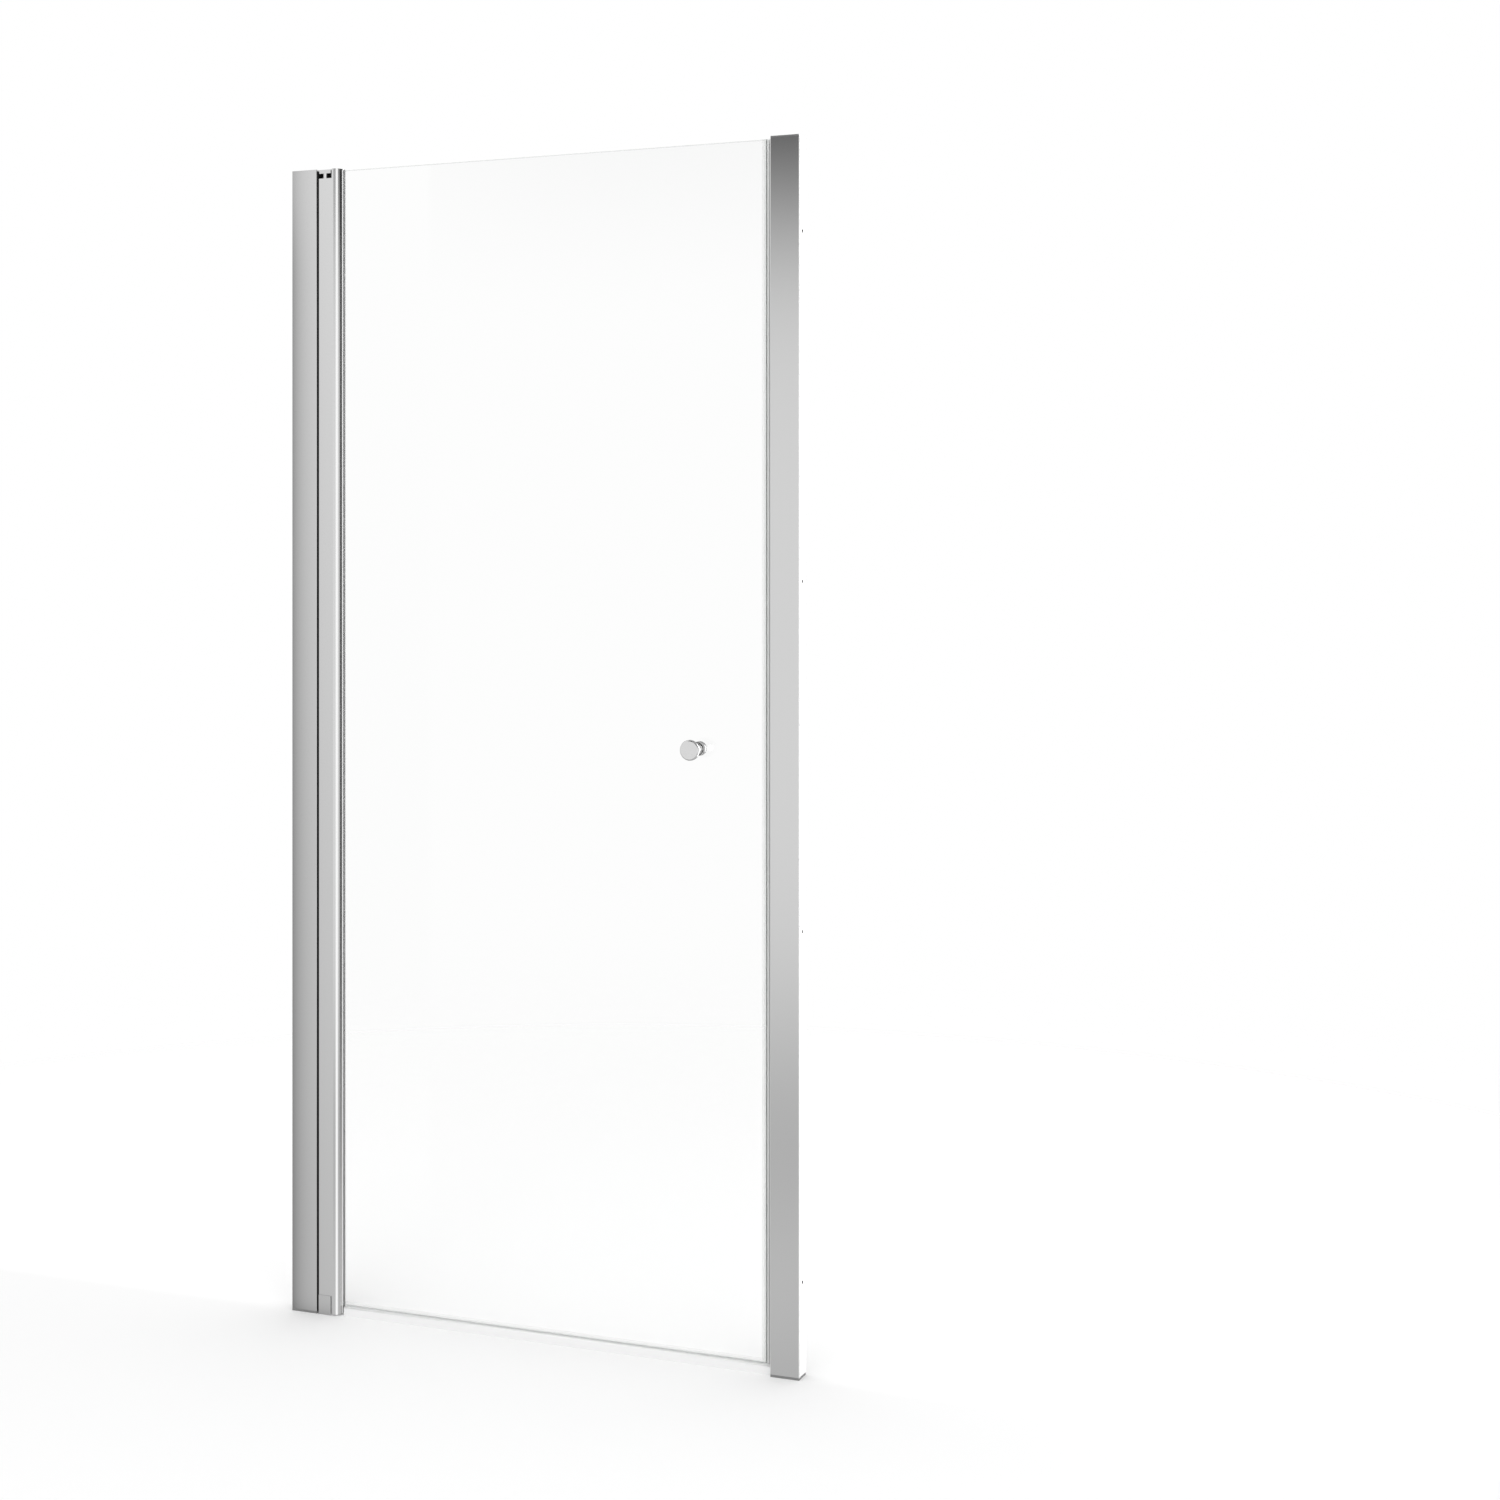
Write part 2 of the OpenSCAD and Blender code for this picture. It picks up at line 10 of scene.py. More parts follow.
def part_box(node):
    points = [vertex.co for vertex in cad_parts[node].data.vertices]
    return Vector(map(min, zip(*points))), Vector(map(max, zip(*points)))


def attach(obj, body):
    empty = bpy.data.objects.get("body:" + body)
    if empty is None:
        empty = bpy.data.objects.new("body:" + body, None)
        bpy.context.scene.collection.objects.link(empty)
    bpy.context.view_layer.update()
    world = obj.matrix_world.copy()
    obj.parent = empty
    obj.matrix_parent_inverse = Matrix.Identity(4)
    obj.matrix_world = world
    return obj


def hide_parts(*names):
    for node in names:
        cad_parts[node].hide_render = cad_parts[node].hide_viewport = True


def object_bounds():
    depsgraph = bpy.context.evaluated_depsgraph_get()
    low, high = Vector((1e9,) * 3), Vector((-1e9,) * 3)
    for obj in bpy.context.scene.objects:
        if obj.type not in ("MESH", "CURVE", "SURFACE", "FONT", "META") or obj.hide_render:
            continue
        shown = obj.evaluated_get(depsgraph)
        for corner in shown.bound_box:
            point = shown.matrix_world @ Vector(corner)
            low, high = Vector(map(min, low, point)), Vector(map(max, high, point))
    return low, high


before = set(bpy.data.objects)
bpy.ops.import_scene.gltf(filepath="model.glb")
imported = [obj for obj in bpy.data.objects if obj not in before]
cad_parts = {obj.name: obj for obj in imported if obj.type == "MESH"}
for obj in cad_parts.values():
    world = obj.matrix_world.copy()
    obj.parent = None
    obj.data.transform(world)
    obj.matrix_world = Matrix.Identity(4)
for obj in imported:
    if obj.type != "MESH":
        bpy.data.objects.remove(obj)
cad_box = [list(corner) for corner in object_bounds()]

# Wall channels
# Two U-shaped aluminium extrusions, left as they come from the press, with fine lines from the die.
# Each is screwed flat to its wall, and the cover profile slides over it.


class Level:
    """A number that changes over a surface: sums on it add Math nodes."""

    def __init__(self, finish, socket):
        self.finish = finish
        self.socket = socket

    def maths(self, operation, *others):
        """One operation, with this number in the first place and the others after it."""
        values = dict(enumerate((self, *others)))
        node = self.finish.add("Math", {"operation": operation}, values)
        return Level(self.finish, node.outputs[0])

    def __add__(self, other):
        return self.maths("ADD", other)

    def __sub__(self, other):
        return self.maths("SUBTRACT", other)

    def __rsub__(self, other):
        return self * -1.0 + other

    def __mul__(self, other):
        return self.maths("MULTIPLY", other)

    __radd__ = __add__
    __rmul__ = __mul__

    def step(self, low, high):
        """Rises smoothly from 0 to 1 between two values."""
        settings = {"interpolation_type": "SMOOTHSTEP"}
        sockets = {"Value": self, "From Min": low, "From Max": high}
        return Level(self.finish, self.finish.add("MapRange", settings, sockets).outputs[0])


class Finish:
    """A finish of this door: one material, its shader and the way to add nodes to it."""

    def __init__(self, name, fixed):
        self.material = bpy.data.materials.new(name)
        self.material.use_nodes = True
        self.nodes = self.material.node_tree.nodes
        self.links = self.material.node_tree.links
        self.shader = self.nodes["Principled BSDF"]
        self.feed(self.shader, fixed)

    def feed(self, node, sockets):
        """Sets or links the named or numbered sockets of a node."""
        for key, value in sockets.items():
            value = value.socket if isinstance(value, Level) else value
            if isinstance(value, bpy.types.NodeSocket):
                self.links.new(value, node.inputs[key])
            else:
                node.inputs[key].default_value = value

    def add(self, kind, settings, sockets):
        """Adds a node: first its settings, then what goes into its sockets."""
        node = self.nodes.new("ShaderNode" + kind)
        for key, value in settings.items():
            if key == "stops":
                ramp = node.color_ramp.elements
                while len(ramp) < len(value):
                    ramp.new(0.5)
                for stop, (place, grey) in zip(ramp, value):
                    stop.position = place
                    stop.color = (grey, grey, grey, 1.0)
            else:
                setattr(node, key, value)
        self.feed(node, sockets)
        return node

    def apart(self, vector):
        """The three numbers of a vector."""
        return [Level(self, socket) for socket in self.add("SeparateXYZ", {}, {0: vector}).outputs]

    def place(self):
        """Where a point of the piece is, as three numbers in metres."""
        return self.apart(self.add("TexCoord", {}, {}).outputs["Object"])

    def cloud(self, cycles, detail=2.0):
        """A cloudy number from 0 to 1, with so many cycles a metre along each direction."""
        where = self.add("TexCoord", {}, {}).outputs["Object"]
        where = self.add("Mapping", {}, {"Vector": where, "Scale": cycles}).outputs[0]
        noise = self.add("TexNoise", {}, {"Vector": where, "Scale": 1.0, "Detail": detail})
        return Level(self, noise.outputs[0])

    def tint(self, amount, dark, light):
        """A colour between two greys or colours."""
        dark, light = [tuple(c) if isinstance(c, tuple) else (c, c, c) for c in (dark, light)]
        mix = self.add("Mix", {"data_type": "RGBA"}, {0: amount, 6: (*dark, 1.0), 7: (*light, 1.0)})
        return mix.outputs[2]

    def relief(self, height, depth):
        """A normal from a height of 0 to 1, where depth is in metres."""
        return self.add("Bump", {}, {"Strength": 1.0, "Distance": depth, "Height": height}).outputs[0]

    def paint(self, sockets):
        """Sets or links sockets of the finish's own shader."""
        self.feed(self.shader, sockets)

    def blend(self, share, first, second):
        """Shows the first shader with a share of the second."""
        mix = self.add("MixShader", {}, {0: share, 1: first.outputs[0], 2: second.outputs[0]})
        self.links.new(mix.outputs[0], self.nodes["Material Output"].inputs["Surface"])

    def cover(self, *nodes):
        """Gives the finish to CAD nodes."""
        for name in nodes:
            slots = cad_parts[name].data.materials
            slots.clear()
            slots.append(self.material)


mill = Finish("mill_aluminium", {"Metallic": 1.0})
die_lines = mill.cloud((900, 900, 1.5), 3.0)
mill.paint({"Base Color": mill.tint(die_lines, 0.64, 0.74), "Roughness": 0.28 + die_lines * 0.16,
            "Normal": mill.relief(die_lines, 0.00002)})
mill.cover("hinge_wall_channel", "strike_wall_channel")

# Cover profiles
# The two flat-faced aluminium extrusions that show beside the walls, finely brushed along their length
# and anodised silver. They stand on the floor and slide over the channels to take up a wall out of plumb.
satin = Finish("anodised_cover", {"Metallic": 1.0})
brushing = satin.cloud((1400, 1400, 2.5))
batch = satin.cloud((7, 7, 2), 1.0)
satin.paint({"Base Color": satin.tint(brushing * 0.5 + batch * 0.5, 0.715, 0.735),
             "Roughness": 0.11 + brushing * 0.03, "Normal": satin.relief(brushing, 0.0000012)})
satin.cover("hinge_jamb", "strike_jamb")

# End caps of the cover profiles and of the stile
# Moulded caps pushed into the ends: painted to match the aluminium on top and on the nose. Under the
# profiles, where they stand on the floor, they are coloured dark as painted shade.
cap = Finish("silver_cap", {"Metallic": 1.0})
cap_grain = cap.cloud((1500, 1500, 1500))
cap.paint({"Base Color": cap.tint(cap_grain, 0.69, 0.73), "Roughness": 0.13 + cap_grain * 0.05,
           "Normal": cap.relief(cap_grain, 0.000002)})
cap.cover("hinge_jamb_top_cap", "strike_jamb_top_cap", "stile_nose_top_cap", "stile_nose_bottom_cap")

# The dark colour of the caps under the profiles is painted shade where they meet the floor.
foot = Finish("shaded_foot_cap", {"Specular IOR Level": 0.4})
foot_grain = foot.cloud((1500, 1500, 1500))
foot.paint({"Base Color": foot.tint(foot_grain, 0.20, 0.24), "Roughness": 0.42 + foot_grain * 0.16,
            "Normal": foot.relief(foot_grain, 0.00002)})
foot.cover("hinge_jamb_bottom_cap", "strike_jamb_bottom_cap")

# Screws
# Countersunk stainless screws with hexagon sockets, driven from inside the shower, and the stud that
# draws both halves of the knob together.
stainless = Finish("stainless_screw", {"Metallic": 1.0})
turning = stainless.cloud((700, 2600, 700))
stainless.paint({"Base Color": stainless.tint(turning, 0.52, 0.66), "Roughness": 0.22 + turning * 0.16})
stainless.cover("hinge_jamb_screws", "strike_jamb_screws", "bracket_screws", "stile_plug_screws", "knob_stud")

# Pivot brackets and pins
# Zinc castings painted silver: an arm over the cut-out at the top of the stile, and a block in the one
# at its foot. Each holds a turned stainless pin that the door swings on.
casting = Finish("painted_casting", {"Metallic": 1.0})
peel = casting.cloud((420, 420, 420), 3.0)
casting.paint({"Base Color": casting.tint(peel, 0.71, 0.75), "Roughness": 0.12 + peel * 0.06,
               "Normal": casting.relief(peel, 0.000003)})
casting.cover("top_pivot_bracket", "bottom_pivot_block")

pin = Finish("turned_pin", {"Metallic": 1.0})
rings = pin.cloud((60, 60, 5200))
pin.paint({"Base Color": pin.tint(rings, 0.80, 0.90), "Roughness": 0.2 + rings * 0.12,
           "Normal": pin.relief(rings, 0.000005)})
pin.cover("top_pivot_pin", "bottom_pivot_pin")

# Strip in the hinge gap
# A black rubber extrusion pressed into the slot of the cover profile. A bulb and, at the back, a lip
# reach across the gap to the stile.
rubber = Finish("black_rubber", {"Specular IOR Level": 0.3})
bloom = rubber.cloud((260, 260, 40), 3.0)
rubber.paint({"Base Color": rubber.tint(bloom, 0.008, 0.018), "Roughness": 0.5 + bloom * 0.2,
              "Normal": rubber.relief(bloom, 0.00002)})
rubber.cover("hinge_gap_seal")

# Strike strip and magnets
# A pale plastic carrier clipped into the strike profile, and the two bars of magnet rubber in their
# pale jackets, one in it and one in the seal on the glass.
carrier = Finish("pale_carrier", {"Specular IOR Level": 0.45})
flow = carrier.cloud((600, 600, 8))
carrier.paint({"Base Color": carrier.tint(flow, 0.62, 0.68), "Roughness": 0.3 + flow * 0.12,
               "Normal": carrier.relief(flow, 0.00001)})
carrier.cover("strike_magnet_carrier")

jacket = Finish("magnet_jacket", {"Specular IOR Level": 0.35})
dust = jacket.cloud((500, 500, 30))
jacket.paint({"Base Color": jacket.tint(dust, 0.86, 0.90), "Roughness": 0.4 + dust * 0.15})
jacket.cover("strike_magnet", "edge_magnet")

# Threshold strip
# A low white plastic box section with rounded shoulders, glued to the floor under the door to hold
# back the water.


def stand(mesh, name, finishes, node, body):
    """Makes the finished piece that stands for a CAD node and moves with its body."""
    data = bpy.data.meshes.new(name)
    mesh.to_mesh(data)
    mesh.free()
    for finish in finishes:
        data.materials.append(finish.material)
    piece = bpy.data.objects.new(name, data)
    bpy.context.scene.collection.objects.link(piece)
    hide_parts(node)
    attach(piece, body)
    return piece


def bar(low, high):
    """A mesh of one straight bar between two corners."""
    mesh = bmesh.new()
    bmesh.ops.create_cube(mesh, size=1.0)
    bmesh.ops.scale(mesh, vec=high - low, verts=mesh.verts)
    bmesh.ops.translate(mesh, vec=(low + high) / 2, verts=mesh.verts)
    return mesh


def round_edges(mesh, edges, width, segments=3):
    """Gives edges one flat bevel, or a smooth curve of more segments."""
    rounding = bmesh.ops.bevel(mesh, geom=edges, offset=width, offset_type="OFFSET", affect="EDGES",
                               segments=segments, profile=0.5, material=-1, clamp_overlap=True)
    for face in rounding["faces"]:
        face.smooth = segments > 1


sill_low, sill_high = map(Vector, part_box("threshold_strip"))
shoulder = 0.0022
threshold = bar(sill_low, sill_high)
upper_edges = [edge for edge in threshold.edges
               if abs(edge.verts[0].co.x - edge.verts[1].co.x) > shoulder
               and edge.verts[0].co.z > sill_low.z + shoulder]
round_edges(threshold, upper_edges, shoulder, segments=5)
white = Finish("threshold_plastic", {"Specular IOR Level": 0.4})
sheen = white.cloud((6, 500, 500))
white.paint({"Base Color": white.tint(sheen, 0.875, 0.895), "Roughness": 0.3 + sheen * 0.14,
             "Normal": white.relief(sheen, 0.000008)})
stand(threshold, "threshold", [white], "threshold_strip", "wall_frame")

# Hinge stile
# The round-nosed aluminium extrusion that carries the glass, brushed and anodised like the profiles.
# Its nose has a slot for the glass, and both ends are cut out for the pivots.
stile = Finish("anodised_stile", {"Metallic": 1.0})
drawn = stile.cloud((1400, 1400, 2.5))
stile.paint({"Base Color": stile.tint(drawn, 0.74, 0.76), "Roughness": 0.10 + drawn * 0.03,
             "Normal": stile.relief(drawn, 0.0000012)})
stile.cover("hinge_stile")

# Plugs and bushes in the stile
# Moulded plugs of black filled nylon close the ends of the stile, and pale bushes in them run on the
# pins. The sleeve around the stud of the knob is of the same pale plastic.
plug = Finish("black_nylon", {"Specular IOR Level": 0.3})
fill = plug.cloud((700, 700, 700))
plug.paint({"Base Color": plug.tint(fill, 0.010, 0.018), "Roughness": 0.5 + fill * 0.2,
            "Normal": plug.relief(fill, 0.00002)})
plug.cover("stile_top_plug", "stile_bottom_plug")

bush = Finish("pale_acetal", {"Specular IOR Level": 0.45})
bush_grain = bush.cloud((500, 500, 500))
bush.paint({"Base Color": bush.tint(bush_grain, 0.60, 0.66), "Roughness": 0.3 + bush_grain * 0.1})
bush.cover("top_pivot_bush", "bottom_pivot_bush", "knob_sleeve")

# Glass
# One pane of clear toughened glass with ground and polished edges and a drilled hole for the knob.
# The far edge sits in the seal and has a darker, opaque copy of the edge finish: painted shade.


def clear(finish, mirror, passes):
    """Lets light straight through a finish, apart from the share that its skin returns."""
    facing = Level(finish, finish.add("LayerWeight", {}, {"Blend": 0.5}).outputs["Facing"])
    square = facing * facing
    skin = square * square * facing * (1.0 - mirror) + mirror
    finish.blend(skin, finish.add("BsdfTransparent", {}, {"Color": passes}), finish.shader)


pane_low, pane_high = map(Vector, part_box("glass_pane"))
sleeve_low, sleeve_high = map(Vector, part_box("knob_sleeve"))
sleeve_gap, arris = 0.0003, 0.0005
sharp_edge, square_on = 0.5, 0.99
drilled = (sleeve_high.x - sleeve_low.x) / 2 + sleeve_gap
knob_axis = (sleeve_low + sleeve_high) / 2
pane = bmesh.new()
corners = [pane.verts.new((x, pane_low.y, z)) for x, z in
           ((pane_low.x, pane_low.z), (pane_high.x, pane_low.z),
            (pane_high.x, pane_high.z), (pane_low.x, pane_high.z))]
outline = [pane.edges.new((corners[i - 1], corners[i])) for i in range(4)]
on_pane = Matrix.Translation((knob_axis.x, pane_low.y, knob_axis.z)) @ Matrix.Rotation(math.pi / 2, 4, "X")
hole = bmesh.ops.create_circle(pane, cap_ends=False, radius=drilled, segments=48, matrix=on_pane)["verts"]
outline += [edge for edge in pane.edges if edge.verts[0] in hole]
bmesh.ops.triangle_fill(pane, use_beauty=True, use_dissolve=False, edges=outline)
walls = bmesh.ops.extrude_face_region(pane, geom=list(pane.faces))["geom"]
bmesh.ops.translate(pane, vec=(0, pane_high.y - pane_low.y, 0),
                    verts=[part for part in walls if isinstance(part, bmesh.types.BMVert)])
bmesh.ops.recalc_face_normals(pane, faces=pane.faces)
rims = [edge for edge in pane.edges if edge.calc_face_angle(0.0) > sharp_edge
        and abs(edge.verts[0].co.y - edge.verts[1].co.y) < arris]
round_edges(pane, rims, arris, segments=1)
skin_slot, edge_slot, shaded_slot = range(3)
for face in pane.faces:
    if abs(face.normal.y) > square_on:
        face.material_index = skin_slot
    elif face.calc_center_median().x > pane_high.x - arris:
        face.material_index = shaded_slot
    else:
        face.material_index = edge_slot

glass = Finish("clear_glass", {"Metallic": 1.0, "Roughness": 0.0})
roller_wave = glass.cloud((1.5, 1.5, 5), 0.0)
glass.paint({"Base Color": glass.tint(roller_wave, 0.94, 0.98)})
clear(glass, mirror=0.03, passes=(0.995, 0.996, 0.995, 1.0))

ground = Finish("glass_edge", {"Specular IOR Level": 0.6, "Alpha": 0.28})
grind = ground.cloud((900, 900, 900))
ground.paint({"Base Color": ground.tint(grind, (0.38, 0.41, 0.395), (0.46, 0.49, 0.475)),
              "Roughness": 0.2 + grind * 0.2})
# A shaded copy of the edge finish for the far edge: painted shade in the seal.
shaded = Finish("shaded_edge", {"Specular IOR Level": 0.5, "Roughness": 0.3})
shaded_grind = shaded.cloud((900, 900, 900))
shaded.paint({"Base Color": shaded.tint(shaded_grind, (0.39, 0.41, 0.40), (0.45, 0.47, 0.46))})
whole_pane = stand(pane, "pane", [glass, ground, shaded], "glass_pane", "door_leaf")
# What shines mirrors the studio as if the glass weren't there.
whole_pane.visible_glossy = False

# Seals on the glass
# Soft plastic extrusions: clear ones on the lower edge and, with a pocket for the magnet, on the free
# edge, and a milky one in the nose of the stile, coloured greyer past the front face of the glass as painted
# shade.
for name, passes, seal in (("clear_seal", (0.99, 0.991, 0.991, 1.0), "bottom_seal"),
                           ("tinted_seal", (0.945, 0.948, 0.946, 1.0), "edge_seal")):
    soft = Finish(name, {"Specular IOR Level": 0.5})
    haze = soft.cloud((300, 300, 12))
    soft.paint({"Base Color": soft.tint(haze, 0.88, 0.92), "Roughness": 0.2 + haze * 0.1})
    clear(soft, mirror=0.04, passes=passes)
    soft.cover(seal)

milky = Finish("milky_gasket", {"Specular IOR Level": 0.5, "Roughness": 0.3})
# Painted shade: the gasket's colour turns grey past the front face of the glass.
shade_fades_in = 0.001
shade_past_glass_front = (milky.place()[1] - pane_low.y) * (1 / shade_fades_in)
milky.paint({"Base Color": milky.tint(shade_past_glass_front + milky.cloud((300, 300, 12)) * 0.1, 0.84, 0.50)})
milky.cover("glazing_gasket")

# Knob
# A turned and polished knob outside and a small round cap inside. The stud draws them together through
# a sleeved hole in the glass, with a black rubber washer outside and a pale one inside.
sharp_rim, flat_end = 0.45, 0.999


def turned(profile, y0, outward):
    """Spins a profile of (radius, height) points about the axis of the knob."""
    mesh = bmesh.new()
    points = [mesh.verts.new((knob_axis.x + radius, y0 + outward * height, knob_axis.z))
              for radius, height in profile]
    line = [mesh.edges.new(pair) for pair in zip(points, points[1:])]
    if profile[0][0] > 0:
        line.append(mesh.edges.new((points[-1], points[0])))
    bmesh.ops.spin(mesh, geom=points + line, cent=knob_axis, axis=(0, 1, 0), angle=2 * math.pi,
                   steps=64, use_merge=True)
    bmesh.ops.remove_doubles(mesh, verts=mesh.verts, dist=1e-6)
    bmesh.ops.recalc_face_normals(mesh, faces=mesh.faces)
    for face in mesh.faces:
        face.smooth = abs(face.normal.y) < flat_end
    return mesh


def soften(mesh, width):
    """Rounds the rims of a turned piece."""
    round_edges(mesh, [edge for edge in mesh.edges if edge.calc_face_angle(0.0) > sharp_rim], width)


knob_low, knob_high = map(Vector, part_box("outer_knob"))
seat = pane_low.y - knob_high.y
crown = pane_low.y - knob_low.y
disc = (knob_high.x - knob_low.x) / 2
disc_t = 0.0075
groove = crown - disc_t
neck, flare, flare_t = 0.009, 0.0105, 0.003
slope, ledge, ledge_t, chamfer, crown_rim = 0.002, 0.0015, 0.0012, 0.001, 0.0006
knob = turned([(0, seat), (flare, seat), (flare, seat + flare_t), (neck, seat + flare_t + slope),
               (neck, groove - slope), (disc - ledge, groove), (disc - ledge, groove + ledge_t),
               (disc, groove + ledge_t + chamfer), (disc, crown - slope),
               (disc - crown_rim, crown - crown_rim), (disc - slope, crown), (0, crown)],
              pane_low.y, -1)
soften(knob, width=0.00025)
polish = Finish("polished_knob", {"Metallic": 1.0})
swirl = polish.cloud((160, 160, 160))
polish.paint({"Base Color": polish.tint(swirl, 0.75, 0.79), "Roughness": 0.07 + swirl * 0.05})
stand(knob, "knob", [polish], "outer_knob", "door_leaf")

bore, washer_r = 0.0028, 0.011
for name, node, y0, outward, finish, slot in (
        ("front_washer", "outer_knob_washer", pane_low.y, -1, rubber, "black_rubber"),
        ("rear_washer", "inner_knob_washer", pane_high.y, 1, bush, "bush_plastic")):
    washer = turned([(bore, 0), (washer_r, 0), (washer_r, seat), (bore, seat)], y0, outward)
    soften(washer, width=0.0004)
    stand(washer, name, [finish], node, "door_leaf")

cap_low, cap_high = map(Vector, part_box("inner_knob_cap"))
button = (cap_high.x - cap_low.x) / 2
back = cap_high.y - pane_high.y
rear_cap = turned([(0, seat), (button, seat), (button, back - ledge), (button - ledge, back), (0, back)],
                  pane_high.y, 1)
soften(rear_cap, width=0.00035)
brushed = Finish("brushed_cap", {"Metallic": 1.0})
facing_lines = brushed.cloud((900, 60, 900))
brushed.paint({"Base Color": brushed.tint(facing_lines, 0.58, 0.66), "Roughness": 0.24 + facing_lines * 0.12})
stand(rear_cap, "rear_cap", [brushed], "inner_knob_cap", "door_leaf")

# Floor, light and camera
# A pale floor in a white surround. What shines sees a studio instead: a bright box to the right, dark
# flags above, a greyer ground and two glowing cards. One card stands where the wall beside the hinge
# would be, and the other far back on the strike side.
degree = math.pi / 180


def staged(name, mesh, finish, **rays):
    """Adds a thing that isn't part of the door, and says which kinds of ray see it."""
    data = bpy.data.meshes.new(name)
    mesh.to_mesh(data)
    mesh.free()
    data.materials.append(finish.material)
    thing = bpy.data.objects.new(name, data)
    bpy.context.scene.collection.objects.link(thing)
    for ray, seen in rays.items():
        setattr(thing, "visible_" + ray, seen)


grid = bmesh.new()
bmesh.ops.create_grid(grid, x_segments=1, y_segments=1, size=6.0)
tile = Finish("pale_floor", {"Roughness": 0.9, "Specular IOR Level": 0.1})
# The floor's colour is darker in front of the door, as painted shade, and paler on the far side, as painted
# light where it is seen through the glass. It fades into the surround further out.
x, y, _ = tile.place()
tile.paint({"Base Color": tile.tint(y.step(-0.02, 0.04), 0.905, 0.985)})
reach = (x * x + y * y).maths("SQRT")
tile.blend(reach.step(1.0, 3.4), tile.shader, tile.add("BsdfTransparent", {}, {}))
staged("floor", grid, tile, glossy=False)


def wall_card(name, low, high, brightness):
    """A glowing card that only what shines can see, and that isn't sampled as a lamp."""
    card = Finish(name, {"Base Color": (0.0, 0.0, 0.0, 1.0), "Specular IOR Level": 0.0,
                         "Emission Color": (1.0, 1.0, 1.0, 1.0), "Emission Strength": brightness})
    card.material.cycles.emission_sampling = "NONE"
    staged(name, bar(Vector(low), Vector(high)), card, camera=False, diffuse=False, shadow=False,
           transmission=False)
    return card


card_t, card_gap = 0.002, 0.0015
wall_x = cad_box[0][0] - card_gap
hinge_card = wall_card("hinge_side_card", (wall_x - card_t, -0.45, -0.3), (wall_x, -0.006, 2.2), 1.0)
# It glows brighter with height, and carries painted shade towards the profile, less so near the top, and at
# its foot.
_, y, z = hinge_card.place()
glow_at_floor, glow_per_metre = 0.66, 0.12
corner_width, corner_dark, paler_at_top = 0.034, 0.68, 0.24
foot_height, foot_dark, foot_slant = 0.012, 0.36, 0.37
corner = (y * (1 / corner_width)).maths("EXPONENT") * (corner_dark - z.step(1.75, 1.95) * paler_at_top)
shade = ((z - y * foot_slant) * (-1 / foot_height)).maths("EXPONENT").maths("MINIMUM", 1.0) * foot_dark
glow = (z * glow_per_metre + glow_at_floor) * (1 - corner) * (1 - shade)
hinge_card.paint({"Emission Color": hinge_card.tint(glow, 0.0, 1.0)})
wall_card("strike_side_card", (0.965, 1.5, -0.6), (1.7, 1.5 + card_t, 2.4), 3.2)


class Surround(Finish):
    """The world outside the object, with nodes added in the same way."""

    def __init__(self, name):
        world = bpy.data.worlds.new(name)
        world.use_nodes = True
        self.nodes = world.node_tree.nodes
        self.links = world.node_tree.links
        self.shader = self.nodes["Background"]
        bpy.context.scene.world = world


studio = Surround("studio")
across, depth, up = studio.apart(studio.add("TexCoord", {}, {}).outputs["Generated"])
turn = across.maths("ARCTAN2", depth * -1.0) * (0.5 / math.pi) + 0.5
rise = up.maths("ARCSINE")
tilt = rise * (1 / math.pi) + 0.5


def follow(share, full_turn, stops):
    """A level that follows the direction, from stops in degrees."""
    stops = [(place / full_turn + 0.5, level) for place, level in stops]
    return Level(studio, studio.add("ValToRGB", {"stops": stops}, {0: share}).outputs[0])


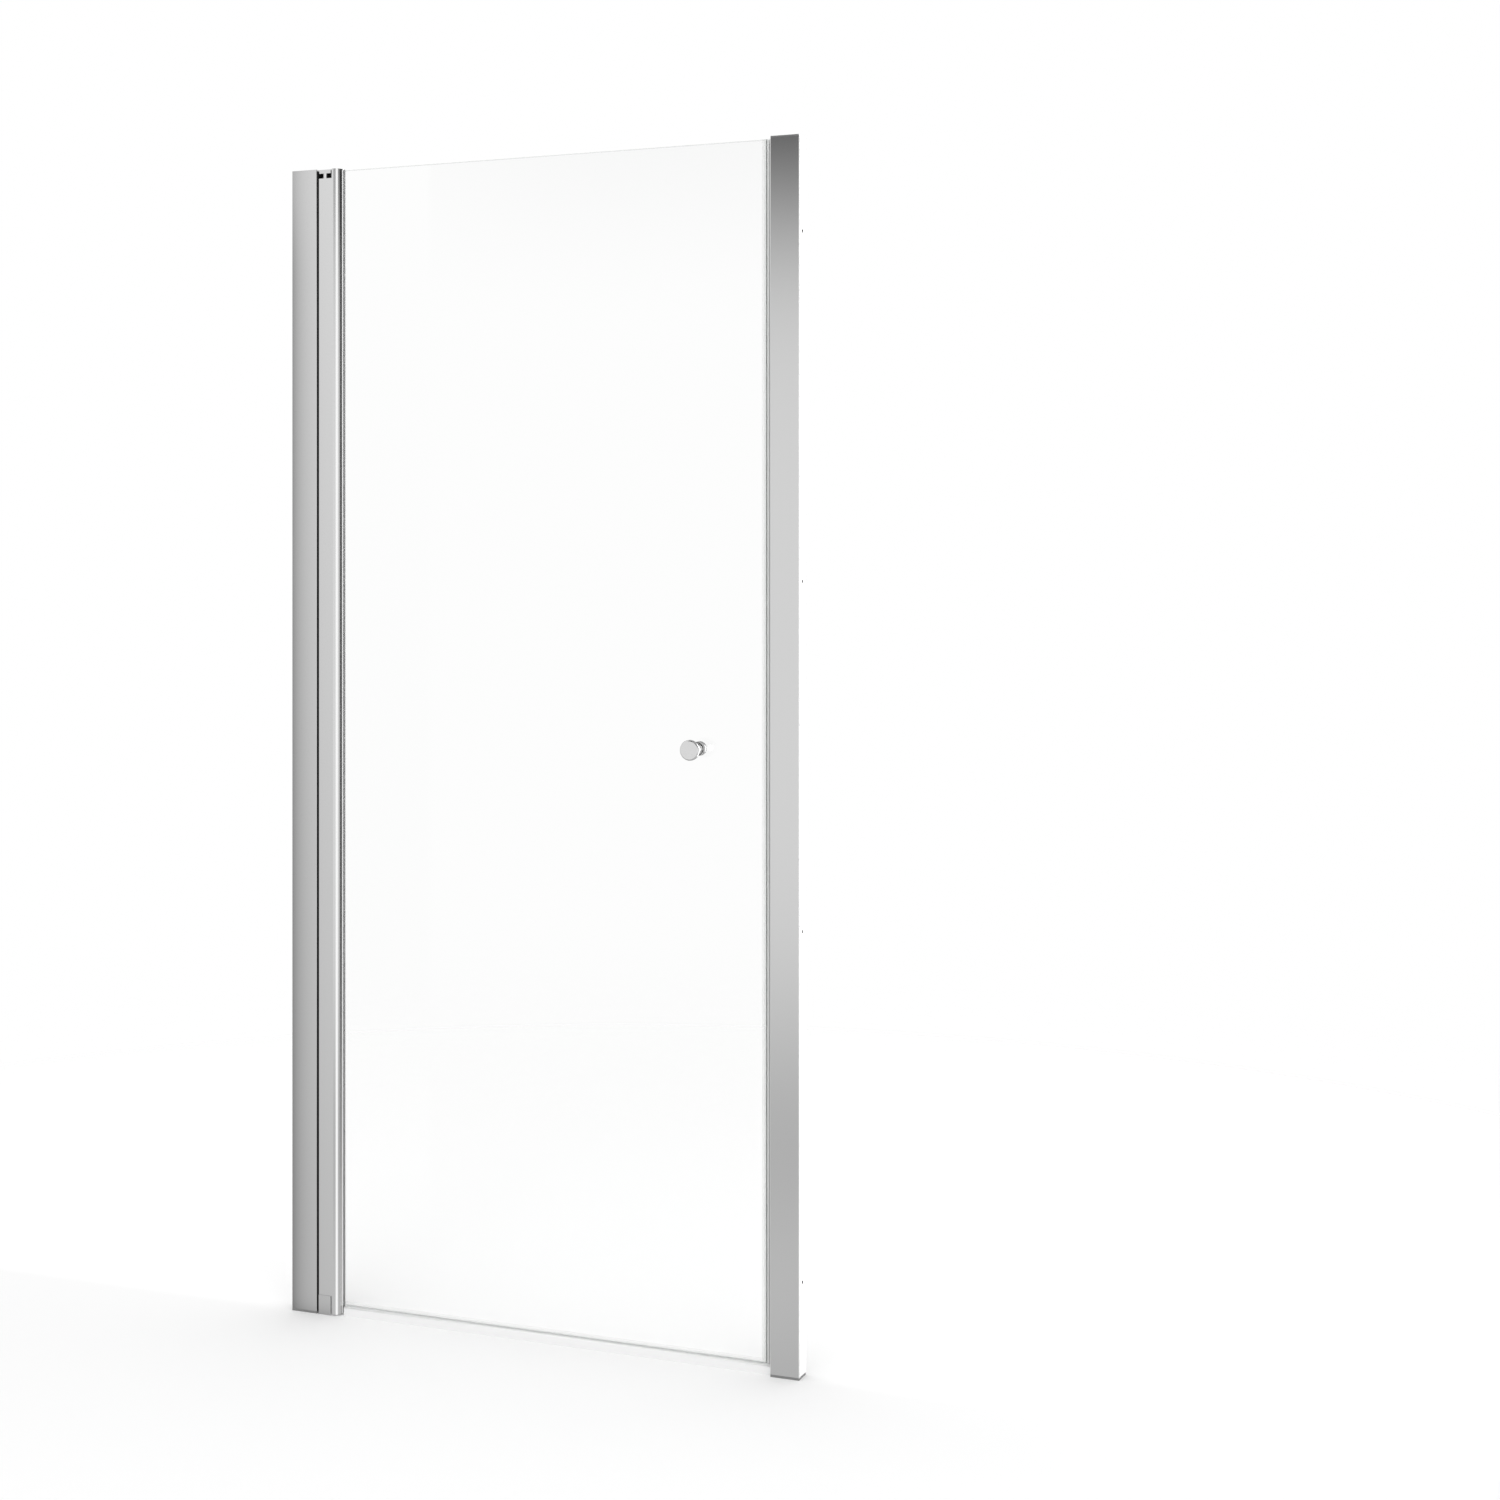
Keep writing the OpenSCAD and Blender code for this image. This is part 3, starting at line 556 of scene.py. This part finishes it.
# Degrees of turn count from straight in front of the door to its right, and of tilt from the horizon up.
horizon = follow(turn, 360, (
    (-179, 0.50), (-110, 0.70), (-60, 0.88), (20, 0.88), (57, 0.82), (73, 0.76), (79, 0.10), (97, 0.10),
    (112, 0.35), (126, 0.35), (132, 1.0), (152, 1.0), (158, 0.42), (179, 0.46)))
flags = follow(turn, 360, (
    (-33, 0.0), (-26, 1.0), (-15, 1.0), (-8, 0.5), (8, 0.72), (17, 0.75), (50, 0.75), (56, 1.0), (126, 0.9),
    (132, 0.25), (152, 0.25), (170, 0.4), (179, 0.0)))
softbox = follow(turn, 360, ((20, 0.0), (26, 1.0), (47, 1.0), (57, 0.0)))
ground_shade = follow(tilt, 180, (
    (-19.6, 0.60), (-18.9, 0.76), (-17.4, 0.81), (-15.9, 0.72), (-14.5, 0.60), (-13.3, 0.625), (-12.6, 0.69),
    (-11.0, 0.85), (-9.5, 0.965), (-8.4, 0.99), (-7.0, 1.0)))
softbox_level, least_below = 1.25, 0.8
upper = horizon * (1 - flags * rise.step(5.8 * degree, 11.9 * degree))
below = rise.step(-9 * degree, -16 * degree)
around = (upper + (least_below - upper).maths("MAXIMUM", 0.0) * below) * ground_shade
mirrored = around + (softbox_level - around) * softbox
# Only what shines sees those levels. For the camera and for soft light the surround is plain white.
shining = Level(studio, studio.add("LightPath", {}, {}).outputs["Is Glossy Ray"])
studio.paint({"Strength": shining * (mirrored - 1.0) + 1.0, "Color": (1.0, 1.0, 1.0, 1.0)})

lamp_data = bpy.data.lights.new("top_light", "AREA")
lamp_data.shape = "RECTANGLE"
lamp_data.size = 3.0
lamp_data.size_y = 2.0
lamp_data.energy = 22.0
lamp = bpy.data.objects.new("top_light", lamp_data)
lamp.location = (0.9, -1.6, 3.4)
lamp.rotation_euler = (25 * degree, 0.0, 25 * degree)
lamp.visible_glossy = False
lamp.visible_camera = False
bpy.context.scene.collection.objects.link(lamp)

camera_data = bpy.data.cameras.new("camera")
camera_data.sensor_width = 36.0
camera_data.lens = 55.085
camera_data.shift_y = -0.1224
camera = bpy.data.objects.new("camera", camera_data)
camera.location = (1.7140, -3.3697, 1.2736)
camera.rotation_euler = (90 * degree, 0.0, 21.624 * degree)
bpy.context.scene.collection.objects.link(camera)
bpy.context.scene.camera = camera
bpy.context.scene.view_settings.view_transform = "Standard"
